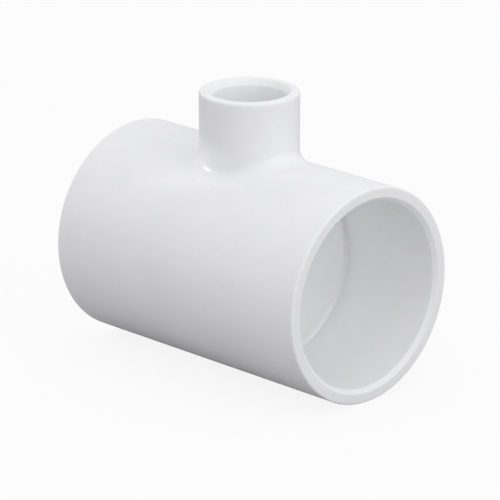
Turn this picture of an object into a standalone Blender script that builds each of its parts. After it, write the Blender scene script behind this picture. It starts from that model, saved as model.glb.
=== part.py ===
"""PVC reducing tee: one injection moulding with two run sockets and a smaller branch outlet.

Metres, +Z up. The origin is where the run's axis (X) meets the branch's axis (Z).
"""

import math

import bmesh
import bpy
from mathutils import Vector

MM = 0.001

# Run: two slip sockets for 2 in pipe, back to back on the X axis.
RUN_PIPE_DIAMETER = 60.32 * MM
RUN_SOCKET_ENTRY_FIT = 0.26 * MM        # socket mouth wider than the pipe, on diameter
RUN_SOCKET_BOTTOM_FIT = -0.14 * MM      # socket bottom narrower than the pipe, on diameter
RUN_WALL = 4.71 * MM                    # wall at the socket mouth
RUN_SOCKET_DEPTH = 38.10 * MM
RUN_CENTRE_LENGTH = 29.80 * MM          # between the two pipe stops
RUN_STOP_STEP = 1.60 * MM               # how far each pipe stop stands in from its socket
RUN_STOP_BREAK = 0.50 * MM              # chamfer on the pipe stop's inner edge
RUN_MOUTH_CHAMFER = 1.30 * MM
RUN_RIM_ROUND = 0.60 * MM

# Branch: a plain bore in a thick round neck on the Z axis.
BRANCH_BORE_DIAMETER = 24.10 * MM       # just under the mouth chamfer
BRANCH_BORE_TAPER = 0.30 * MM           # narrower at the bottom, on diameter
BRANCH_WALL = 4.05 * MM
BRANCH_RISE = 21.00 * MM                # branch face above the run's outside
BRANCH_BORE_DEPTH = 19.00 * MM
BRANCH_STOP_STEP = 1.45 * MM
BRANCH_MOUTH_WIDTH = 1.20 * MM          # lead-in chamfer, across
BRANCH_MOUTH_DEPTH = 1.90 * MM          # lead-in chamfer, down
BRANCH_RIM_ROUND = 0.80 * MM

# Where the neck flares into the run.
SADDLE_FILLET = 4.50 * MM
SADDLE_SINK = 0.10 * MM                 # the flare's lower edge goes this far under the run's skin
SADDLE_ROOT = 1.50 * MM                 # hidden root of the flare, inside the run's wall

# Facets.
RUN_SIDES = 80
BRANCH_SIDES = 64
RIM_STEPS = 3
SADDLE_STEPS = 8
CUT_OVERSHOOT = 1.00 * MM               # cutters stand out of the faces they open
MERGE = 0.005 * MM
SHARP_ANGLE = math.radians(30)

# Worked out from the values above.
RUN_SOCKET_ENTRY_RADIUS = (RUN_PIPE_DIAMETER + RUN_SOCKET_ENTRY_FIT) / 2
RUN_SOCKET_BOTTOM_RADIUS = (RUN_PIPE_DIAMETER + RUN_SOCKET_BOTTOM_FIT) / 2
RUN_WATERWAY_RADIUS = RUN_SOCKET_BOTTOM_RADIUS - RUN_STOP_STEP
RUN_RADIUS = RUN_SOCKET_ENTRY_RADIUS + RUN_WALL
RUN_STOP_X = RUN_CENTRE_LENGTH / 2
RUN_END_X = RUN_STOP_X + RUN_SOCKET_DEPTH
BRANCH_BORE_RADIUS = BRANCH_BORE_DIAMETER / 2
BRANCH_BOTTOM_RADIUS = BRANCH_BORE_RADIUS - BRANCH_BORE_TAPER / 2
BRANCH_WATERWAY_RADIUS = BRANCH_BOTTOM_RADIUS - BRANCH_STOP_STEP
BRANCH_RADIUS = BRANCH_BORE_RADIUS + BRANCH_WALL
BRANCH_TOP_Z = RUN_RADIUS + BRANCH_RISE
BRANCH_STOP_Z = BRANCH_TOP_Z - BRANCH_BORE_DEPTH

PVC_COLOUR = (0.80, 0.80, 0.81, 1.0)
PVC_ROUGHNESS = 0.38
CUTTER_COLOUR = (0.30, 0.55, 0.80, 1.0)


def clear_scene():
    for old in list(bpy.data.objects):
        bpy.data.objects.remove(old)


def new_collection(name):
    collection = bpy.data.collections.new(name)
    bpy.context.scene.collection.children.link(collection)
    return collection


def material(name, colour, roughness):
    made = bpy.data.materials.new(name)
    made.use_nodes = True
    made.diffuse_color = colour
    shader = made.node_tree.nodes["Principled BSDF"]
    shader.inputs["Base Color"].default_value = colour
    shader.inputs["Roughness"].default_value = roughness
    shader.inputs["Metallic"].default_value = 0.0
    return made


def round_corner(radius_at, height_at, corner_round, start, end):
    """Points of a rim's rounded corner, as (radius, height), from angle start to angle end."""
    points = []
    for step in range(RIM_STEPS + 1):
        angle = math.radians(start + (end - start) * step / RIM_STEPS)
        points.append((radius_at + corner_round * math.cos(angle),
                       height_at + corner_round * math.sin(angle)))
    return points


def turned(name, profile, sides, collection):
    """A solid of revolution about the local Z axis; profile is (radius, height), top to bottom."""
    mesh = bpy.data.meshes.new(name)
    corners = [(radius, 0.0, height) for radius, height in profile]
    mesh.from_pydata(corners, [(i, i + 1) for i in range(len(corners) - 1)], [])
    made = bpy.data.objects.new(name, mesh)
    collection.objects.link(made)
    screw = made.modifiers.new("turn", "SCREW")
    screw.steps = sides
    screw.render_steps = sides
    screw.use_merge_vertices = True
    screw.merge_threshold = MERGE
    return made


def run_outside_profile():
    """The run's plain outside with both rims rounded."""
    inset = RUN_RADIUS - RUN_RIM_ROUND
    height = RUN_END_X - RUN_RIM_ROUND
    upper = round_corner(inset, height, RUN_RIM_ROUND, 90, 0)
    lower = round_corner(inset, -height, RUN_RIM_ROUND, 0, -90)
    return [(0.0, RUN_END_X)] + upper + lower + [(0.0, -RUN_END_X)]


def run_bore_profile():
    """Both tapered sockets, their mouth chamfers, the pipe stops and the waterway between."""
    half = [
        (RUN_SOCKET_ENTRY_RADIUS + RUN_MOUTH_CHAMFER, RUN_END_X + CUT_OVERSHOOT),
        (RUN_SOCKET_ENTRY_RADIUS + RUN_MOUTH_CHAMFER, RUN_END_X),
        (RUN_SOCKET_ENTRY_RADIUS, RUN_END_X - RUN_MOUTH_CHAMFER),
        (RUN_SOCKET_BOTTOM_RADIUS, RUN_STOP_X),
        (RUN_WATERWAY_RADIUS + RUN_STOP_BREAK, RUN_STOP_X),
        (RUN_WATERWAY_RADIUS, RUN_STOP_X - RUN_STOP_BREAK),
    ]
    top = [(0.0, RUN_END_X + CUT_OVERSHOOT)]
    other_half = [(radius, -height) for radius, height in reversed(half)]
    bottom = [(0.0, -RUN_END_X - CUT_OVERSHOOT)]
    return top + half + other_half + bottom


def branch_bore_profile():
    """The branch's mouth chamfer, tapered bore, stop and waterway, down into the run."""
    mouth = BRANCH_BORE_RADIUS + BRANCH_MOUTH_WIDTH
    return [
        (0.0, BRANCH_TOP_Z + CUT_OVERSHOOT),
        (mouth, BRANCH_TOP_Z + CUT_OVERSHOOT),
        (mouth, BRANCH_TOP_Z),
        (BRANCH_BORE_RADIUS, BRANCH_TOP_Z - BRANCH_MOUTH_DEPTH),
        (BRANCH_BOTTOM_RADIUS, BRANCH_STOP_Z),
        (BRANCH_WATERWAY_RADIUS, BRANCH_STOP_Z),
        (BRANCH_WATERWAY_RADIUS, 0.0),
        (0.0, 0.0),
    ]


def saddle_arc(angle):
    """The fillet between neck and run at one angle about Z, from the neck down to the run.

    A ball of the fillet's radius rolls in the corner between the two cylinders. It touches the
    neck on the side facing the Z axis, and the run on the side facing the X axis.
    """
    outward = Vector((math.cos(angle), math.sin(angle), 0.0))
    reach = BRANCH_RADIUS + SADDLE_FILLET
    across = reach * outward.y
    lift = math.sqrt((RUN_RADIUS + SADDLE_FILLET - SADDLE_SINK) ** 2 - across ** 2)
    ball = Vector((reach * outward.x, across, lift))
    to_neck = -outward
    to_run = -Vector((0.0, across, lift)).normalized()
    points = []
    for step in range(SADDLE_STEPS + 1):
        direction = to_neck.slerp(to_run, step / SADDLE_STEPS)
        points.append(ball + direction * SADDLE_FILLET)
    return points


def neck_column(angle):
    """All the neck's outside points at one angle about Z, from the rim to the hidden root."""
    rim = round_corner(BRANCH_RADIUS - BRANCH_RIM_ROUND, BRANCH_TOP_Z - BRANCH_RIM_ROUND,
                       BRANCH_RIM_ROUND, 90, 0)
    column = [Vector((radius * math.cos(angle), radius * math.sin(angle), height))
              for radius, height in rim]
    arc = saddle_arc(angle)
    root_scale = (RUN_RADIUS - SADDLE_ROOT) / RUN_RADIUS
    root = Vector((arc[-1].x, arc[-1].y * root_scale, arc[-1].z * root_scale))
    return column + arc + [root]


def flared_neck(name, collection):
    """The branch's outside: a loft from its round rim to the saddle curve on the run."""
    shape = bmesh.new()
    columns = []
    for side in range(BRANCH_SIDES):
        points = neck_column(2 * math.pi * side / BRANCH_SIDES)
        columns.append([shape.verts.new(point) for point in points])
    rows = len(columns[0])
    for side, column in enumerate(columns):
        beside = columns[(side + 1) % BRANCH_SIDES]
        for row in range(rows - 1):
            shape.faces.new((column[row], column[row + 1], beside[row + 1], beside[row]))
    shape.faces.new([column[0] for column in columns])
    centre = shape.verts.new((0.0, 0.0, RUN_WATERWAY_RADIUS - SADDLE_ROOT))
    for side, column in enumerate(columns):
        beside = columns[(side + 1) % BRANCH_SIDES]
        shape.faces.new((column[-1], centre, beside[-1]))
    bmesh.ops.recalc_face_normals(shape, faces=shape.faces)
    mesh = bpy.data.meshes.new(name)
    shape.to_mesh(mesh)
    shape.free()
    made = bpy.data.objects.new(name, mesh)
    collection.objects.link(made)
    return made


def as_tool(tool, look):
    """Marks a shape that only joins or cuts another."""
    tool.display_type = "WIRE"
    tool.hide_render = True
    tool.data.materials.append(look)


def combine(body, tool, operation):
    boolean = body.modifiers.new(tool.name, "BOOLEAN")
    boolean.operation = operation
    boolean.solver = "EXACT"
    boolean.object = tool


def make_tee_body(parts, tools):
    """The whole moulding: run, flared neck, and the bores through both."""
    body = turned("tee_body", run_outside_profile(), RUN_SIDES, parts)
    body.rotation_euler = (0.0, math.pi / 2, 0.0)
    body.data.materials.append(material("white_pvc", PVC_COLOUR, PVC_ROUGHNESS))

    neck = flared_neck("branch_neck", tools)
    run_bore = turned("run_bore", run_bore_profile(), RUN_SIDES, tools)
    run_bore.rotation_euler = (0.0, math.pi / 2, 0.0)
    branch_bore = turned("branch_bore", branch_bore_profile(), BRANCH_SIDES, tools)

    tool_look = material("cutter", CUTTER_COLOUR, PVC_ROUGHNESS)
    for tool in (neck, run_bore, branch_bore):
        as_tool(tool, tool_look)
    combine(body, neck, "UNION")
    combine(body, run_bore, "DIFFERENCE")
    combine(body, branch_bore, "DIFFERENCE")
    return body


def shade_round(made):
    """Bakes the joined shape and smooths its round faces, keeping its real edges sharp."""
    depsgraph = bpy.context.evaluated_depsgraph_get()
    joined = bpy.data.meshes.new_from_object(made.evaluated_get(depsgraph))
    look = made.data.materials[0]
    made.modifiers.clear()
    made.data = joined
    joined.materials.clear()
    joined.materials.append(look)
    joined.shade_smooth()
    joined.set_sharp_from_angle(angle=SHARP_ANGLE)


def main():
    clear_scene()
    parts = new_collection("pvc_tee_fitting")
    tools = new_collection("cutters")
    body = make_tee_body(parts, tools)
    shade_round(body)


main()
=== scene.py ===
"""The looks of a white PVC reducing tee: one moulded skin, its material, and a plain studio."""

import math

import bmesh
import bpy
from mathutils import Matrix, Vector


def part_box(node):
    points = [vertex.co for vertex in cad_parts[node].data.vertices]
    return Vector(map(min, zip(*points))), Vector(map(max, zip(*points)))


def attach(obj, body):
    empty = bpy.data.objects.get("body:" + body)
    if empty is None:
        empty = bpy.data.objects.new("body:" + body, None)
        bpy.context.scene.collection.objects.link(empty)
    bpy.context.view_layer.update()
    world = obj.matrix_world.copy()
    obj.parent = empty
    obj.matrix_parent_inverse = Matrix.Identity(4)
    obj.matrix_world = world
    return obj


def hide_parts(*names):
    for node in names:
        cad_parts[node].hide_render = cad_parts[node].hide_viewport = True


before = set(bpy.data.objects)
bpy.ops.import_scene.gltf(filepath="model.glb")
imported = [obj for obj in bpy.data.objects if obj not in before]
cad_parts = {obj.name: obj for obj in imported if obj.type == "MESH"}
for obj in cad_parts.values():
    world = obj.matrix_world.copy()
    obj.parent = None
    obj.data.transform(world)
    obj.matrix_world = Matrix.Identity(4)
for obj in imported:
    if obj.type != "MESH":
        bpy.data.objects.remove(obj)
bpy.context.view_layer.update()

MM = 0.001
BODY_LOW, BODY_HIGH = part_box("tee_body")

# Sizes that the frame gives.
RUN_END_X = BODY_HIGH[0]
RUN_RADIUS = BODY_HIGH[1]
BRANCH_TOP_Z = BODY_HIGH[2]
FLOOR_Z = BODY_LOW[2]

# The same design values as the CAD part.
SOCKET_ENTRY_RADIUS = 30.29 * MM
SOCKET_BOTTOM_RADIUS = 30.09 * MM
SOCKET_DEPTH = 38.10 * MM
WATERWAY_RADIUS = 28.49 * MM
RUN_MOUTH_CHAMFER = 1.30 * MM
RUN_RIM_ROUND = 0.60 * MM
BRANCH_RADIUS = 16.10 * MM
BRANCH_BORE_RADIUS = 12.05 * MM
BRANCH_BOTTOM_RADIUS = 11.90 * MM
BRANCH_WATERWAY_RADIUS = 10.45 * MM
BRANCH_BORE_DEPTH = 19.00 * MM
BRANCH_MOUTH_WIDTH = 1.20 * MM
BRANCH_MOUTH_DEPTH = 1.90 * MM
BRANCH_RIM_ROUND = 0.80 * MM
SADDLE_FILLET = 4.50 * MM

# Small moulded details of the skin.
EDGE_ROUND = 0.25 * MM                 # broken edges of mouths and stops
CORNER_ROUND = 0.40 * MM               # inside corners at the pipe stops
CROTCH_ROUND = 0.50 * MM               # where the two waterways meet
SEAM_HEIGHT = 0.05 * MM                # mould parting line, in the plane of both axes
SKIN_RADIUS = RUN_RADIUS - SEAM_HEIGHT  # the parting line's crest is the run's full size
NECK_RADIUS = BRANCH_RADIUS - SEAM_HEIGHT

# How much hands and tools rub each edge, from 0 to 1.
RIM_WEAR = 1.0
MOUTH_WEAR = 0.8
LEAD_IN_WEAR = 0.6
STOP_WEAR = 0.3

# Facets of the skin.
AROUND = 320                           # points round every ring
QUARTER = AROUND // 4
HOLE_SIDE = 52                         # steps from the hole's middle to its corner, round the run
HOLE_LENGTH = QUARTER - HOLE_SIDE      # the same, along the run
SEAM_CROWDING = 0.5                    # ring points crowd towards the parting plane by this much
LONGEST_STEP = 1.2 * MM                # along any straight part of a section
ROUND_STEPS = 5                        # across a broken edge or corner
SADDLE_STEPS = 14                      # across the saddle's fillet
CROTCH_STEPS = 4                       # across the edge where the waterways meet
OUTER_HOLE_X = 27.5 * MM               # from the branch's axis to the end of the run's hole, outside
INNER_HOLE_X = 13.5 * MM               # the same, in the waterway
GRID_SLACK = 0.01                      # for telling grid steps apart
OUTER_PATCH_ROWS = 12                  # between the saddle and the outer hole's edge
INNER_PATCH_ROWS = 6                   # between the waterways' edge and the inner hole's edge
NECK_ROWS = 5                          # between the saddle and the neck's first level ring
NECK_START = 0.5 * MM                  # that ring's height above the top of the saddle
THROAT_ROWS = 6                        # between the last level ring and the waterways' edge
THROAT_START = 2 * MM                  # that ring's depth below the branch's stop


def ring_angle(index):
    """Angle about the run, from straight up, of a ring's point; points crowd at the parting plane."""
    turn = index / AROUND
    return 2 * math.pi * turn - SEAM_CROWDING * math.sin(4 * math.pi * turn) / 2


def spread(start, end, count):
    """The points from start to end, without start: count of them."""
    return [start + (end - start) * step / count for step in range(1, count + 1)]


def fillet_2d(before, corner, after, size, steps):
    """A rounded corner on a profile, as points (radius, height)."""
    a = Vector(before) - Vector(corner)
    b = Vector(after) - Vector(corner)
    half = a.angle(b) / 2
    reach = size / math.tan(half)
    centre = Vector(corner) + (a.normalized() + b.normalized()).normalized() * (size / math.sin(half))
    first = (Vector(corner) + a.normalized() * reach - centre).normalized()
    last = (Vector(corner) + b.normalized() * reach - centre).normalized()
    return [tuple(centre + first.slerp(last, step / steps) * size) for step in range(steps + 1)]


def rounded_path(corners):
    """A profile through corners (radius, height, round, wear), with no step too long.

    Gives points (radius, height, wear): wear is 1 on an edge that hands and tools touch.
    """
    path = [(corners[0][0], corners[0][1], 0.0)]
    for i in range(1, len(corners)):
        point = corners[i][:2]
        size, wear = corners[i][2:]
        if size:
            arc = fillet_2d(corners[i - 1][:2], point, corners[i + 1][:2], size, ROUND_STEPS)
        else:
            arc = [point]
        start = path[-1][:2]
        gap = Vector(arc[0]) - Vector(start)
        count = max(1, math.ceil(gap.length / LONGEST_STEP))
        for step in range(1, count):
            path.append((start[0] + gap.x * step / count, start[1] + gap.y * step / count, 0.0))
        path.extend((place[0], place[1], wear) for place in arc)
    return path


def saddle_arc(angle, run_radius, neck_radius, size, steps, raised=0.0):
    """Where a ball rolls in the corner between a neck and a run: its arc from neck to run.

    raised lifts the arc out of the corner's face, for the parting line.
    """
    outward = Vector((math.cos(angle), math.sin(angle), 0.0))
    reach = neck_radius + size
    across = reach * outward.y
    lift = math.sqrt((run_radius + size) ** 2 - across ** 2)
    ball = Vector((reach * outward.x, across, lift))
    to_run = -Vector((0.0, across, lift)).normalized()
    return [
        ball + (-outward).slerp(to_run, step / steps) * (size - raised)
        for step in range(steps + 1)
    ]


class Skin:
    """Collects the points and faces of one closed surface, and three marks for its material."""

    def __init__(self):
        self.points = []
        self.faces = []
        self.marks = {"wear": [], "polish": [], "bore": []}

    def point(self, place, wear=0.0, polish=0.0, bore=0.0):
        self.points.append(tuple(place))
        self.marks["wear"].append(wear)
        self.marks["polish"].append(polish)
        self.marks["bore"].append(bore)
        return len(self.points) - 1


def run_half_path():
    """The run's section from the middle of the waterway out through a mouth and back outside."""
    stop_x = RUN_END_X - SOCKET_DEPTH
    inner = [
        (WATERWAY_RADIUS, INNER_HOLE_X * step / HOLE_LENGTH, 0.0)
        for step in range(HOLE_LENGTH)
    ]
    mouth = SOCKET_ENTRY_RADIUS + RUN_MOUTH_CHAMFER
    corners = [
        (WATERWAY_RADIUS, INNER_HOLE_X, 0.0, 0.0),
        (WATERWAY_RADIUS, stop_x, 2 * EDGE_ROUND, STOP_WEAR),
        (SOCKET_BOTTOM_RADIUS, stop_x, CORNER_ROUND, 0.0),
        (SOCKET_ENTRY_RADIUS, RUN_END_X - RUN_MOUTH_CHAMFER, EDGE_ROUND, LEAD_IN_WEAR),
        (mouth, RUN_END_X, EDGE_ROUND, MOUTH_WEAR),
        (SKIN_RADIUS, RUN_END_X, RUN_RIM_ROUND, RIM_WEAR),
        (SKIN_RADIUS, OUTER_HOLE_X, 0.0, 0.0),
    ]
    outer = [
        (SKIN_RADIUS, OUTER_HOLE_X * step / HOLE_LENGTH, 0.0)
        for step in range(HOLE_LENGTH - 1, -1, -1)
    ]
    return inner + rounded_path(corners) + outer


def on_run(radius, x, angle):
    return Vector((x, radius * math.sin(angle), radius * math.cos(angle)))


def hole_index(x_step, side_step):
    """Index round the hole's edge, from +X through +Y, of a grid point on that edge."""
    if x_step == HOLE_LENGTH:
        return side_step % AROUND
    if side_step == HOLE_SIDE:
        return QUARTER - x_step
    if x_step == -HOLE_LENGTH:
        return 2 * QUARTER - side_step
    return 3 * QUARTER + x_step


def branch_angles():
    """The branch's column angles: the direction of each hole-edge point on the unrolled run."""
    angles = [0.0] * AROUND
    for x_step in range(-HOLE_LENGTH, HOLE_LENGTH + 1):
        for side_step in range(-HOLE_SIDE, HOLE_SIDE + 1):
            if abs(x_step) != HOLE_LENGTH and abs(side_step) != HOLE_SIDE:
                continue
            along = OUTER_HOLE_X * x_step / HOLE_LENGTH
            around = SKIN_RADIUS * ring_angle(side_step)
            angles[hole_index(x_step, side_step)] = math.atan2(around, along)
    return angles


def add_run(skin):
    """The run's rings. Gives the hole edges outside and inside, by hole index."""
    half = run_half_path()
    path = half + [(radius, -x, wear) for radius, x, wear in reversed(half[1:-1])]
    edges = {"outer": {}, "inner": {}}
    grid = []
    for radius, x, wear in path:
        side = "outer" if radius > SOCKET_ENTRY_RADIUS + RUN_MOUTH_CHAMFER else "inner"
        bore = 1.0 if radius < SOCKET_ENTRY_RADIUS + EDGE_ROUND else 0.0
        reach = OUTER_HOLE_X if side == "outer" else INNER_HOLE_X
        step = x / reach * HOLE_LENGTH
        on_wall = radius in (SKIN_RADIUS, WATERWAY_RADIUS)
        near_hole = on_wall and abs(step) < HOLE_LENGTH + GRID_SLACK
        inside_ends = near_hole and abs(step) < HOLE_LENGTH - GRID_SLACK
        ring = []
        for index in range(AROUND):
            side_step = index if index <= AROUND // 2 else index - AROUND
            if inside_ends and abs(side_step) < HOLE_SIDE:
                ring.append(None)
                continue
            on_seam = radius == SKIN_RADIUS and index in (0, AROUND // 2)
            seam = SEAM_HEIGHT if on_seam else 0.0
            made = skin.point(on_run(radius + seam, x, ring_angle(index)), wear, 0.0, bore)
            ring.append(made)
            if near_hole and abs(side_step) <= HOLE_SIDE:
                edges[side][hole_index(round(step), side_step)] = made
        grid.append(ring)
    for row, ring in enumerate(grid):
        beside = grid[(row + 1) % len(grid)]
        for index in range(AROUND):
            after = (index + 1) % AROUND
            corners = (ring[index], beside[index], beside[after], ring[after])
            if None not in corners:
                skin.faces.append(corners)
    return edges


def patch_rows(radius, contact, edge_place, rows):
    """Points between a contact curve and the hole's edge, straight on the unrolled run."""
    start_x = contact.x
    start_angle = math.atan2(contact.y, contact.z)
    end_x = edge_place.x
    end_angle = math.atan2(edge_place.y, edge_place.z)
    made = []
    for row in range(1, rows):
        share = row / rows
        made.append(on_run(radius, start_x + (end_x - start_x) * share,
                           start_angle + (end_angle - start_angle) * share))
    return made


def branch_section():
    """The branch's section above the saddle: outside, rim, mouth, bore, stop and waterway."""
    stop_z = BRANCH_TOP_Z - BRANCH_BORE_DEPTH
    mouth = BRANCH_BORE_RADIUS + BRANCH_MOUTH_WIDTH
    corners = [
        (NECK_RADIUS, RUN_RADIUS + SADDLE_FILLET + NECK_START, 0.0, 0.0),
        (NECK_RADIUS, BRANCH_TOP_Z, BRANCH_RIM_ROUND, RIM_WEAR),
        (mouth, BRANCH_TOP_Z, EDGE_ROUND, MOUTH_WEAR),
        (BRANCH_BORE_RADIUS, BRANCH_TOP_Z - BRANCH_MOUTH_DEPTH, EDGE_ROUND, LEAD_IN_WEAR),
        (BRANCH_BOTTOM_RADIUS, stop_z, CORNER_ROUND, 0.0),
        (BRANCH_WATERWAY_RADIUS, stop_z, EDGE_ROUND, STOP_WEAR),
        (BRANCH_WATERWAY_RADIUS, stop_z - THROAT_START, 0.0, 0.0),
    ]
    return rounded_path(corners)


def branch_column(skin, section, angle, seam, out_edge, in_edge):
    """One column of points: from the outer hole's edge over the branch to the inner hole's edge."""
    outward = Vector((math.cos(angle), math.sin(angle), 0.0))
    neck_top = BRANCH_TOP_Z - BRANCH_RIM_ROUND
    outer_arc = saddle_arc(angle, SKIN_RADIUS, NECK_RADIUS, SADDLE_FILLET, SADDLE_STEPS, seam)
    inner_arc = saddle_arc(
        angle, WATERWAY_RADIUS, BRANCH_WATERWAY_RADIUS, CROTCH_ROUND, CROTCH_STEPS)
    out_place, in_place = Vector(skin.points[out_edge]), Vector(skin.points[in_edge])

    def on_branch(radius, height):
        return outward * radius + Vector((0.0, 0.0, height))

    column = [out_edge]
    flat = patch_rows(SKIN_RADIUS + seam, outer_arc[-1], out_place, OUTER_PATCH_ROWS)
    for place in reversed(flat):
        column.append(skin.point(place))
    for step, place in reversed(list(enumerate(outer_arc))):
        column.append(skin.point(place, polish=math.sin(math.pi * step / SADDLE_STEPS)))
    for height in spread(outer_arc[0].z, section[0][1], NECK_ROWS)[:-1]:
        column.append(skin.point(on_branch(NECK_RADIUS + seam, height)))
    for radius, height, wear in section:
        ridge = seam if radius == NECK_RADIUS and height < neck_top else 0.0
        bore = 1.0 if radius < BRANCH_BORE_RADIUS + EDGE_ROUND else 0.0
        column.append(skin.point(on_branch(radius + ridge, height), wear, bore=bore))
    for height in spread(section[-1][1], inner_arc[0].z, THROAT_ROWS)[:-1]:
        column.append(skin.point(on_branch(BRANCH_WATERWAY_RADIUS, height), bore=1.0))
    for place in inner_arc:
        column.append(skin.point(place, STOP_WEAR, bore=1.0))
    for place in patch_rows(WATERWAY_RADIUS, inner_arc[-1], in_place, INNER_PATCH_ROWS):
        column.append(skin.point(place, bore=1.0))
    column.append(in_edge)
    return column


def add_branch(skin, edges):
    """Neck, saddle and bores, joined to the hole edges of the run."""
    section = branch_section()
    columns = []
    for index, angle in enumerate(branch_angles()):
        seam = SEAM_HEIGHT if index in (0, AROUND // 2) else 0.0
        out_edge, in_edge = edges["outer"][index], edges["inner"][index]
        columns.append(branch_column(skin, section, angle, seam, out_edge, in_edge))
    for index, column in enumerate(columns):
        beside = columns[(index + 1) % AROUND]
        for row in range(len(column) - 1):
            skin.faces.append((column[row], column[row + 1], beside[row + 1], beside[row]))


def tee_skin():
    """The whole fitting as one closed mesh, with its marks as point attributes."""
    skin = Skin()
    add_branch(skin, add_run(skin))
    mesh = bpy.data.meshes.new("tee_skin")
    mesh.from_pydata(skin.points, [], skin.faces)
    for name, amounts in skin.marks.items():
        mesh.attributes.new(name, "FLOAT", "POINT").data.foreach_set("value", amounts)
    shape = bmesh.new()
    shape.from_mesh(mesh)
    bmesh.ops.recalc_face_normals(shape, faces=shape.faces)
    shape.to_mesh(mesh)
    shape.free()
    mesh.shade_smooth()
    piece = bpy.data.objects.new("tee_skin", mesh)
    bpy.context.scene.collection.objects.link(piece)
    return piece


class Nodes:
    """Builds a material's nodes; sizes are in millimetres on the object."""

    def __init__(self, tree):
        self.tree = tree
        self.place = self.add("ShaderNodeTexCoord").outputs["Object"]

    def add(self, kind, **settings):
        node = self.tree.nodes.new(kind)
        for name, value in settings.items():
            setattr(node, name, value)
        return node

    def feed(self, socket, value):
        if isinstance(value, bpy.types.NodeSocket):
            self.tree.links.new(value, socket)
        else:
            socket.default_value = value

    def math(self, operation, first, second=0.5, third=0.0, clamp=False):
        node = self.add("ShaderNodeMath", operation=operation, use_clamp=clamp)
        for socket, value in zip(node.inputs, (first, second, third)):
            self.feed(socket, value)
        return node.outputs[0]

    def stretch(self, length):
        """Object space, with length (x, y, z) in millimetres brought to one unit."""
        node = self.add("ShaderNodeMapping")
        node.inputs["Scale"].default_value = tuple(1 / (part * MM) for part in length)
        self.feed(node.inputs["Vector"], self.place)
        return node.outputs["Vector"]

    def noise(self, length, detail=2.0, rough=0.5):
        """Noise whose lumps are about this long: one length in millimetres, or x, y and z."""
        spans = length if isinstance(length, tuple) else (length, length, length)
        node = self.add("ShaderNodeTexNoise")
        self.feed(node.inputs["Vector"], self.stretch(spans))
        node.inputs["Scale"].default_value = 1.0
        node.inputs["Detail"].default_value = detail
        node.inputs["Roughness"].default_value = rough
        return node.outputs["Fac"]

    def ramp(self, value, low, high, to_low=0.0, to_high=1.0):
        """The value's share of the way from low to high, clamped and brought to a new range."""
        node = self.add("ShaderNodeMapRange")
        self.feed(node.inputs["Value"], value)
        limits = {"From Min": low, "From Max": high, "To Min": to_low, "To Max": to_high}
        for name, number in limits.items():
            self.feed(node.inputs[name], number)
        return node.outputs["Result"]

    def mark(self, name):
        return self.add("ShaderNodeAttribute", attribute_name=name).outputs["Fac"]

    def blend(self, amount, first, second):
        node = self.add("ShaderNodeMix", data_type="RGBA")
        self.feed(node.inputs["Factor"], amount)
        self.feed(node.inputs["A"], first)
        self.feed(node.inputs["B"], second)
        return node.outputs["Result"]

    def bump(self, height, depth, before=None):
        """Relief of this depth in millimetres, on top of an earlier one."""
        node = self.add("ShaderNodeBump")
        node.inputs["Distance"].default_value = depth * MM
        self.feed(node.inputs["Height"], height)
        if before:
            self.feed(node.inputs["Normal"], before)
        return node.outputs["Normal"]


# Colours of the moulding.
CLOUD_DARK = (0.878, 0.880, 0.893, 1)
CLOUD_LIGHT = (0.905, 0.906, 0.913, 1)
MOTTLE_COLOUR = (0.858, 0.862, 0.880, 1)
STREAK_COLOUR = (0.918, 0.919, 0.928, 1)
RUBBED_COLOUR = (0.945, 0.946, 0.95, 1)
GRIME_COLOUR = (0.74, 0.735, 0.72, 1)
MOTTLE_SHARE = 0.30
STREAK_SHARE = 0.35
RUBBED_SHARE = 0.55
GRIME_SHARE = 0.30


def pvc_colour(nodes, wear):
    """Broad clouds, finer mottling, streaks from the melt's flow, rubbed and grimy edges."""
    clouds = nodes.ramp(nodes.noise(26.0, detail=3.0), low=0.35, high=0.65)
    colour = nodes.blend(clouds, CLOUD_DARK, CLOUD_LIGHT)
    mottle = nodes.noise(3.2, detail=3.0, rough=0.6)
    mottle = nodes.ramp(mottle, low=0.38, high=0.62, to_high=MOTTLE_SHARE)
    colour = nodes.blend(mottle, colour, MOTTLE_COLOUR)
    streaks = nodes.noise((34.0, 3.5, 3.5))
    streaks = nodes.ramp(streaks, low=0.52, high=0.68, to_high=STREAK_SHARE)
    colour = nodes.blend(streaks, colour, STREAK_COLOUR)
    rubbed = nodes.ramp(nodes.noise(1.6, detail=4.0, rough=0.65), low=0.36, high=0.60)
    rubbed = nodes.math("MULTIPLY", wear, rubbed, clamp=True)
    colour = nodes.blend(nodes.math("MULTIPLY", rubbed, RUBBED_SHARE), colour, RUBBED_COLOUR)
    grime = nodes.ramp(nodes.noise(2.4, detail=4.0, rough=0.6), low=0.60, high=0.74)
    grime = nodes.math("MULTIPLY", wear, grime, clamp=True)
    return nodes.blend(nodes.math("MULTIPLY", grime, GRIME_SHARE), colour, GRIME_COLOUR)


# Roughness: the satin outside, and what is added to it elsewhere.
SATIN_LOW, SATIN_HIGH = 0.41, 0.49
GRAIN_CHANGE = 0.02
SCUFF_CHANGE = 0.09
BORE_CHANGE = -0.06
SADDLE_CHANGE = -0.14
WEAR_CHANGE = 0.12
LEAST_ROUGHNESS = 0.29


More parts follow.
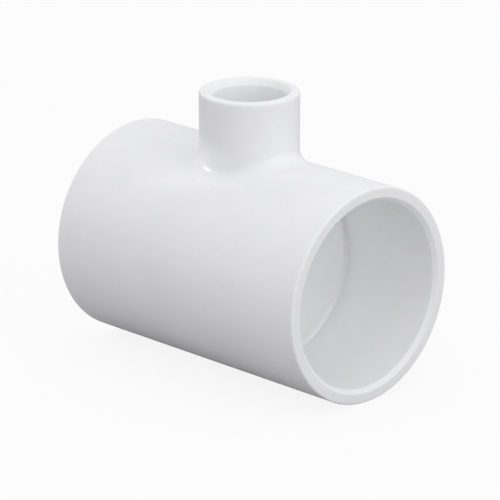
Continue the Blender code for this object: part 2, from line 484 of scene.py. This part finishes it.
def pvc_roughness(nodes, wear, polish, bore):
    """Satin outside with scuffs, smoother in the bores and the saddle, dull on rubbed edges."""
    rough = nodes.noise(9.0, detail=3.0, rough=0.55)
    rough = nodes.ramp(rough, low=0.30, high=0.70, to_low=SATIN_LOW, to_high=SATIN_HIGH)
    grain = nodes.noise(0.9)
    grain = nodes.ramp(grain, low=0.3, high=0.7, to_low=-GRAIN_CHANGE, to_high=GRAIN_CHANGE)
    rough = nodes.math("ADD", rough, grain)
    scuffs = nodes.ramp(nodes.noise((16.0, 0.55, 0.8), detail=3.0, rough=0.6), low=0.63, high=0.72)
    rough = nodes.math("MULTIPLY_ADD", scuffs, SCUFF_CHANGE, rough)
    rough = nodes.math("MULTIPLY_ADD", bore, BORE_CHANGE, rough)
    rough = nodes.math("MULTIPLY_ADD", polish, SADDLE_CHANGE, rough)
    rough = nodes.math("MULTIPLY_ADD", wear, WEAR_CHANGE, rough)
    return nodes.math("MAXIMUM", rough, LEAST_ROUGHNESS)


# Depths of the relief, in millimetres.
RIPPLE_DEPTH = 0.035
ORANGE_PEEL_DEPTH = 0.010
GRAIN_DEPTH = 0.0022
DRAG_DEPTH = 0.006
NICK_DEPTH = 0.035


def pvc_relief(nodes, wear, bore):
    """Long ripple, orange peel, fine grain, drag lines from the core pins, nicked edges."""
    relief = nodes.bump(nodes.noise(11.0, detail=1.0), RIPPLE_DEPTH)
    relief = nodes.bump(nodes.noise(1.9), ORANGE_PEEL_DEPTH, relief)
    relief = nodes.bump(nodes.noise(0.42), GRAIN_DEPTH, relief)
    parts = nodes.add("ShaderNodeSeparateXYZ")
    nodes.feed(parts.inputs["Vector"], nodes.place)
    in_branch = nodes.math("GREATER_THAN", parts.outputs["Z"], WATERWAY_RADIUS)
    along_run = nodes.noise((30.0, 0.45, 0.45))
    along_branch = nodes.noise((0.45, 0.45, 30.0))
    drag = nodes.add("ShaderNodeMix", data_type="FLOAT")
    for name, source in (("Factor", in_branch), ("A", along_run), ("B", along_branch)):
        nodes.feed(drag.inputs[name], source)
    drag_lines = nodes.math("MULTIPLY", drag.outputs["Result"], bore)
    relief = nodes.bump(drag_lines, DRAG_DEPTH, relief)
    nicks = nodes.math("MULTIPLY", nodes.noise(0.8, detail=3.0, rough=0.6), wear)
    return nodes.bump(nicks, NICK_DEPTH, relief)


PVC_IOR = 1.53


def pvc_material():
    """White moulded PVC with a satin skin, all from noise in object space and the skin's marks."""
    made = bpy.data.materials.new("white_pvc_skin")
    made.use_nodes = True
    shader = made.node_tree.nodes["Principled BSDF"]
    nodes = Nodes(made.node_tree)
    wear, polish, bore = nodes.mark("wear"), nodes.mark("polish"), nodes.mark("bore")
    nodes.feed(shader.inputs["Base Color"], pvc_colour(nodes, wear))
    nodes.feed(shader.inputs["Roughness"], pvc_roughness(nodes, wear, polish, bore))
    nodes.feed(shader.inputs["Normal"], pvc_relief(nodes, wear, bore))
    shader.inputs["IOR"].default_value = PVC_IOR
    return made


# The camera stands where the photograph's did. It looks at a point by the run's middle.
CAMERA_AZIMUTH = math.radians(44.86)
CAMERA_ELEVATION = math.radians(18.53)
CAMERA_AIM = Vector((0.007, 0, 0.079)) * RUN_RADIUS
CAMERA_DISTANCE = 33.9                 # run radii, from that point
RADIUS_SEEN = 109.2                    # pixels that the run's radius covers at that point
PICTURE_WIDTH = 500                    # pixels
SENSOR_WIDTH = 36                      # mm
CAMERA_REACH = 20                      # m

# The floor and the backdrop that the camera sees, and the plane that sends light back up.
STAGE_SIZE = 12                        # m
FLOOR_GREY, FLOOR_GLOW = 0.10, 0.88
BOUNCE_GREY, BOUNCE_GLOW = 0.45, 0.0
BOUNCE_DROP = 0.5 * MM
BACKDROP_RADIUS = 5                    # m
BACKDROP_GREY, BACKDROP_GLOW = 0.0, 0.98

# Even white surroundings, and three lamps.
SURROUND_COLOUR = (0.995, 0.995, 1, 1)
SURROUND_LEVEL = 0.90
LAMP_DISTANCE = 1.2                    # m, from what the lamp points at
KEY_RIGHT, KEY_UP, KEY_BACK = 0.66, 0.28, 0.72  # shares of its direction, as the camera sees it
KEY_SIZE, KEY_POWER = 0.7, 2.15        # m, W
GLINT_SIZE, GLINT_POWER = 0.004, 12.0  # m, W
GLINT_BEAM = math.radians(1.0)
GLINT_ANGLE = math.radians(-99)        # about the branch, of the saddle's bright spot
GLINT_TILT = math.radians(15)
THROUGH_POWER = 0.0060                 # W, of the light that enters the far mouth
THROUGH_BEAM = math.radians(140)
EVERY_WAY = math.radians(180)


def on_saddle(angle, tilt):
    """A point of the saddle and its normal: angle about the branch, and the face's upward tilt."""
    outward = Vector((math.cos(angle), math.sin(angle), 0.0))
    reach = NECK_RADIUS + SADDLE_FILLET
    lift = math.sqrt((SKIN_RADIUS + SADDLE_FILLET) ** 2 - (reach * outward.y) ** 2)
    face = outward * math.cos(tilt) + Vector((0.0, 0.0, math.sin(tilt)))
    return outward * reach + Vector((0.0, 0.0, lift)) - face * SADDLE_FILLET, face


def place_light(data, place, aim):
    lamp = bpy.data.objects.new(data.name, data)
    lamp.location = place
    lamp.rotation_euler = (place - aim).to_track_quat("Z", "Y").to_euler()
    lamp.visible_camera = False
    bpy.context.scene.collection.objects.link(lamp)


def disk_light(name, place, aim, size, power, beam=EVERY_WAY):
    data = bpy.data.lights.new(name, "AREA")
    data.shape = "DISK"
    data.size = size
    data.energy = power
    data.spread = beam
    place_light(data, place, aim)


def glint_light(back):
    """A small gloss-only spotlight, where the saddle's bright spot mirrors it to the camera."""
    data = bpy.data.lights.new("kicker", "SPOT")
    data.energy = GLINT_POWER
    data.spot_size = GLINT_BEAM
    data.spot_blend = 1.0
    data.shadow_soft_size = GLINT_SIZE
    data.diffuse_factor = 0.0
    glint, face = on_saddle(GLINT_ANGLE, GLINT_TILT)
    mirrored = face * 2 * face.dot(back) - back
    place_light(data, glint + mirrored * LAMP_DISTANCE, glint)


def stage_look(name, grey, glow):
    look = bpy.data.materials.new(name)
    look.use_nodes = True
    shader = look.node_tree.nodes["Principled BSDF"]
    shader.inputs["Base Color"].default_value = (grey, grey, grey, 1)
    shader.inputs["Roughness"].default_value = 1.0
    shader.inputs["Specular IOR Level"].default_value = 0.0
    shader.inputs["Emission Color"].default_value = (1, 1, 1, 1)
    shader.inputs["Emission Strength"].default_value = glow
    return look


def stage_piece(name, grey, glow):
    """Names and paints the shape just added."""
    piece = bpy.context.object
    piece.name = name
    piece.data.materials.append(stage_look(name, grey, glow))
    return piece


def show_to_camera_only(thing):
    thing.visible_diffuse = False
    thing.visible_glossy = False
    thing.visible_shadow = False


def add_camera(back):
    data = bpy.data.cameras.new("camera")
    data.sensor_width = SENSOR_WIDTH
    data.lens = RADIUS_SEEN * CAMERA_DISTANCE / PICTURE_WIDTH * SENSOR_WIDTH
    data.clip_end = CAMERA_REACH
    camera = bpy.data.objects.new("camera", data)
    camera.location = CAMERA_AIM + back * (CAMERA_DISTANCE * RUN_RADIUS)
    camera.rotation_euler = back.to_track_quat("Z", "Y").to_euler()
    bpy.context.scene.collection.objects.link(camera)
    bpy.context.scene.camera = camera


def add_stage():
    bpy.ops.mesh.primitive_plane_add(size=STAGE_SIZE, location=(0, 0, FLOOR_Z))
    show_to_camera_only(stage_piece("floor", FLOOR_GREY, FLOOR_GLOW))
    bpy.ops.mesh.primitive_plane_add(size=STAGE_SIZE, location=(0, 0, FLOOR_Z - BOUNCE_DROP))
    stage_piece("bounce", BOUNCE_GREY, BOUNCE_GLOW).visible_camera = False
    bpy.ops.mesh.primitive_uv_sphere_add(segments=64, ring_count=32, radius=BACKDROP_RADIUS)
    show_to_camera_only(stage_piece("backdrop", BACKDROP_GREY, BACKDROP_GLOW))


def studio():
    """A white light tent: camera, floor, backdrop, even surroundings and three lamps."""
    outward = math.cos(CAMERA_ELEVATION)
    back = Vector((math.sin(CAMERA_AZIMUTH) * outward, -math.cos(CAMERA_AZIMUTH) * outward,
                   math.sin(CAMERA_ELEVATION)))
    right = Vector((math.cos(CAMERA_AZIMUTH), math.sin(CAMERA_AZIMUTH), 0))
    up = Vector((0, 0, 1))
    add_camera(back)
    add_stage()

    world = bpy.data.worlds.new("studio")
    bpy.context.scene.world = world
    world.use_nodes = True
    surroundings = world.node_tree.nodes["Background"]
    surroundings.inputs["Strength"].default_value = SURROUND_LEVEL
    surroundings.inputs["Color"].default_value = SURROUND_COLOUR

    to_key = (right * KEY_RIGHT + up * KEY_UP + back * KEY_BACK).normalized()
    disk_light("key", CAMERA_AIM + to_key * LAMP_DISTANCE, CAMERA_AIM, KEY_SIZE, KEY_POWER)
    glint_light(back)
    far_mouth = Vector((-RUN_END_X, 0, 0))
    disk_light("through_light", far_mouth, Vector((0, 0, 0)), 2 * SOCKET_BOTTOM_RADIUS,
               THROUGH_POWER, THROUGH_BEAM)
    bpy.context.scene.view_settings.view_transform = "Standard"


skin = tee_skin()
skin.data.materials.append(pvc_material())
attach(skin, "root")
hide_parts("tee_body")
studio()
